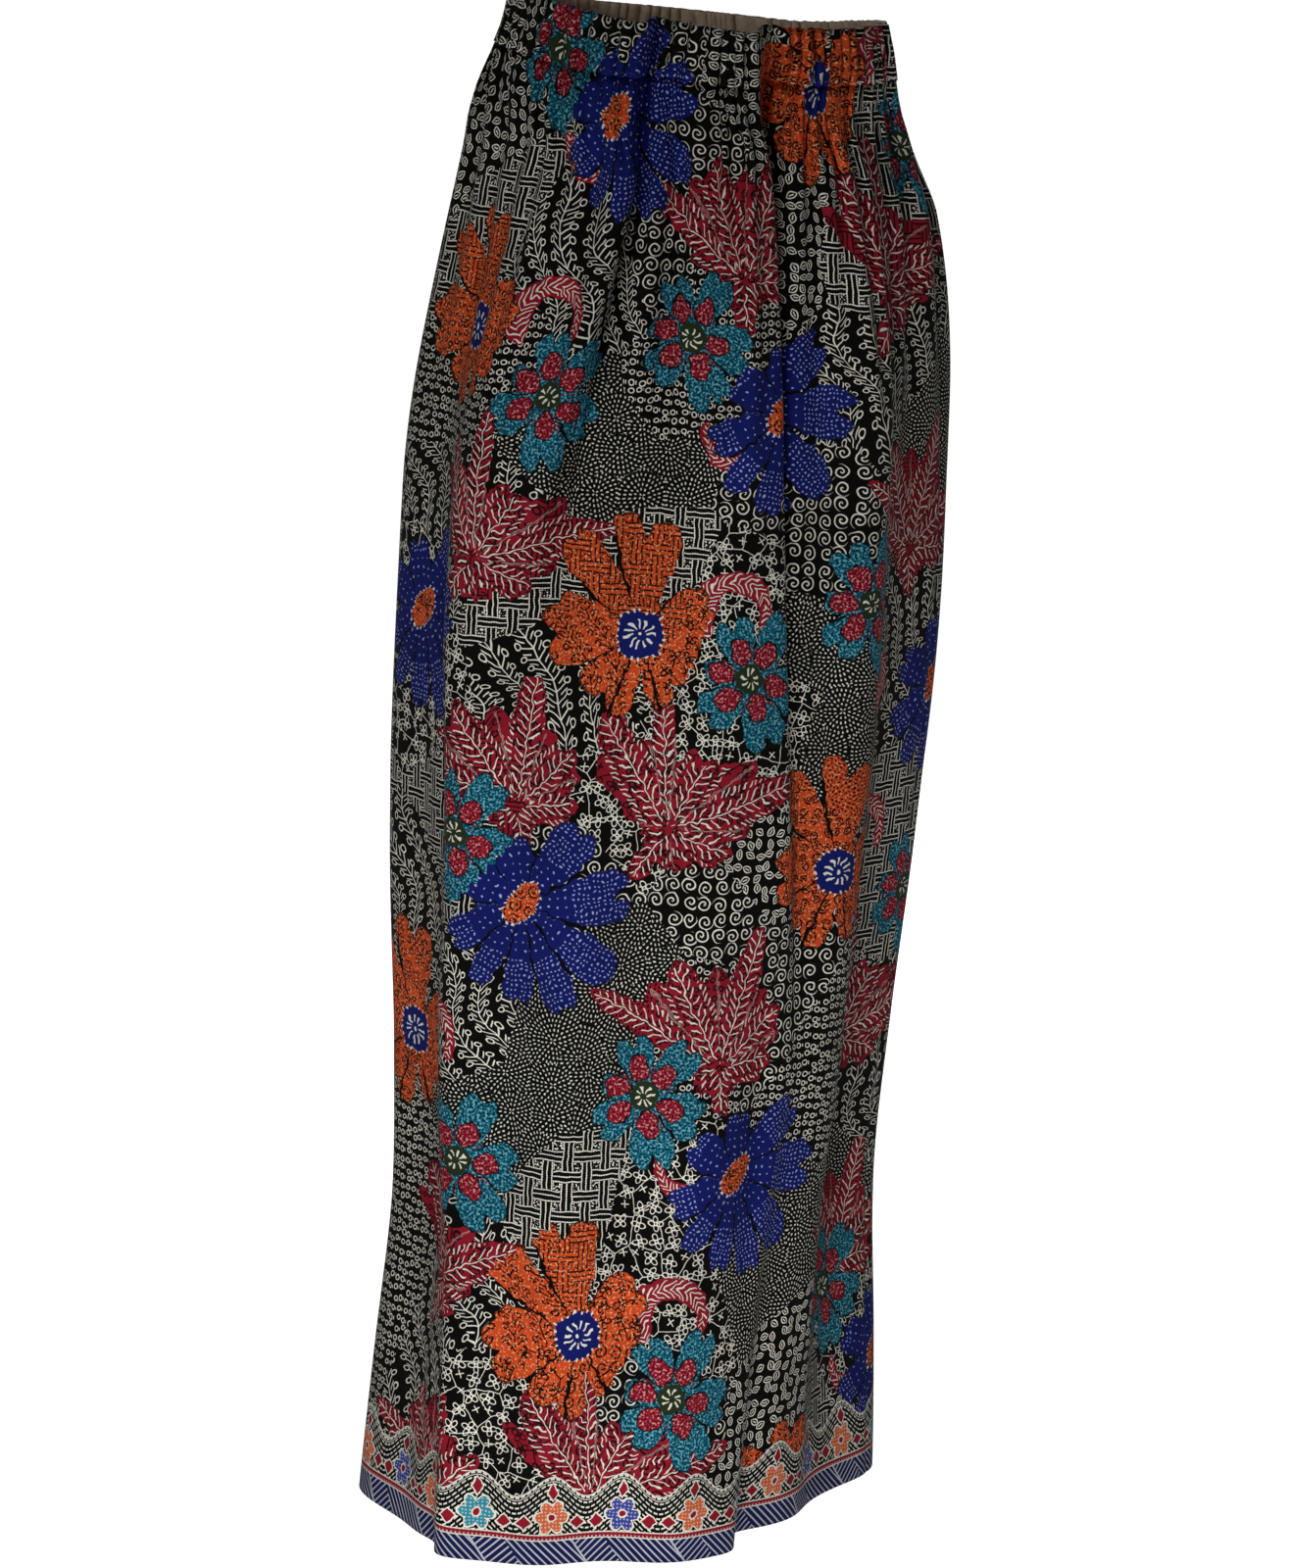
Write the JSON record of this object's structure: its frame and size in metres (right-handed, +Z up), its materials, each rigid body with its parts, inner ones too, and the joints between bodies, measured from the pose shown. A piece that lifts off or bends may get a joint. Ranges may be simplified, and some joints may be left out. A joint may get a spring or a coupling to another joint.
{
  "type": "batik sarong",
  "caption": "Ankle-length printed cotton tube skirt with a gathered elastic waist, worn open and hollow, with folds down the front and a bordered hem.",
  "frame": {"origin": "centre of the waist casing, at half its height, where the wearer holds the garment up", "axes": "+Z up, +X to the viewer's right when facing the front, the front faces -Y"},
  "size_m": [0.3525, 0.3368, 0.9812],
  "materials": {
    "batik_cotton": "matte printed cotton",
    "casing_cotton": "matte printed cotton, gathered on elastic"
  },
  "bodies": {
    "root": {"front_panel": "batik_cotton", "back_panel": "batik_cotton", "waist_casing": "casing_cotton"}
  },
  "joints": []
}
